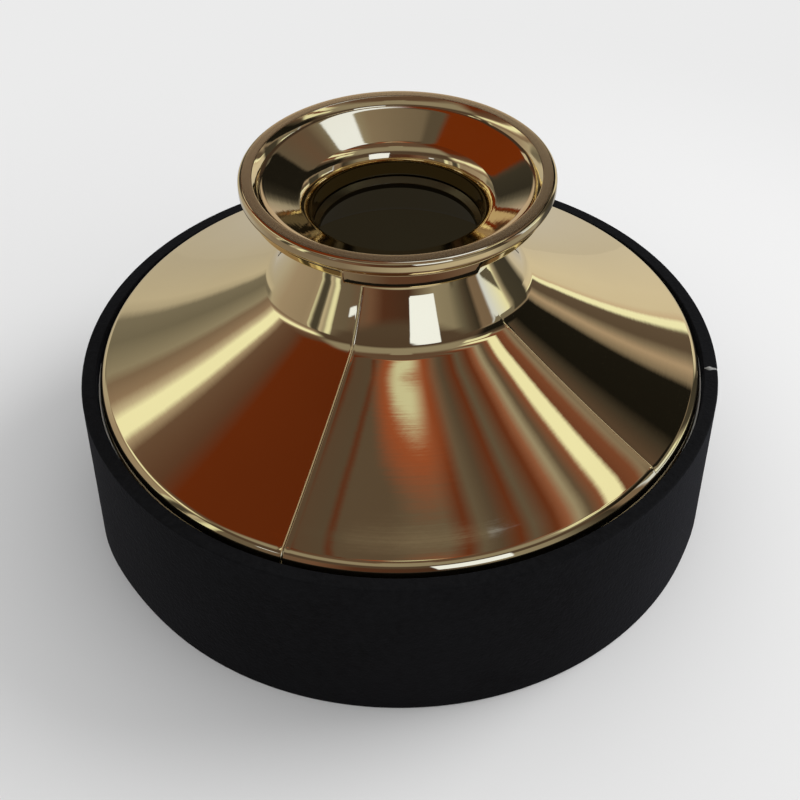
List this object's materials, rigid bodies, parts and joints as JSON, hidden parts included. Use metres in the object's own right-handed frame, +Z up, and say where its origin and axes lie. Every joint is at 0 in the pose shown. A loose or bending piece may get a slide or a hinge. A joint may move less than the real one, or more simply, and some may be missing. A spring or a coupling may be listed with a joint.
{
  "type": "saxophone mute",
  "caption": "Gold-plated moulded saxophone mute: a wide cone with a waisted neck and a dished mouth, held in the bell by a black foam band.",
  "frame": {"origin": "middle of the face that the foam band rests on, on the mute's axis", "axes": "+Z up along the mute's axis from the foot to the lip; -Y towards the side that the picture shows; the foam's splice lies near +X"},
  "size_m": [0.118, 0.118, 0.0699],
  "materials": {
    "plated_shell": "moulded plastic with a pale gold mirror plating, fine parting lines left on",
    "plated_funnel": "pale gold plating over fine turned rings, satin on the lip",
    "black_foam": "matt closed-cell foam with a fine skin",
    "white_tape": "double-sided adhesive tape"
  },
  "bodies": {
    "root": {"horn_shell": "plated_shell", "mouth_funnel": "plated_funnel", "foam_band": "black_foam", "foam_tape": "white_tape"}
  },
  "joints": []
}
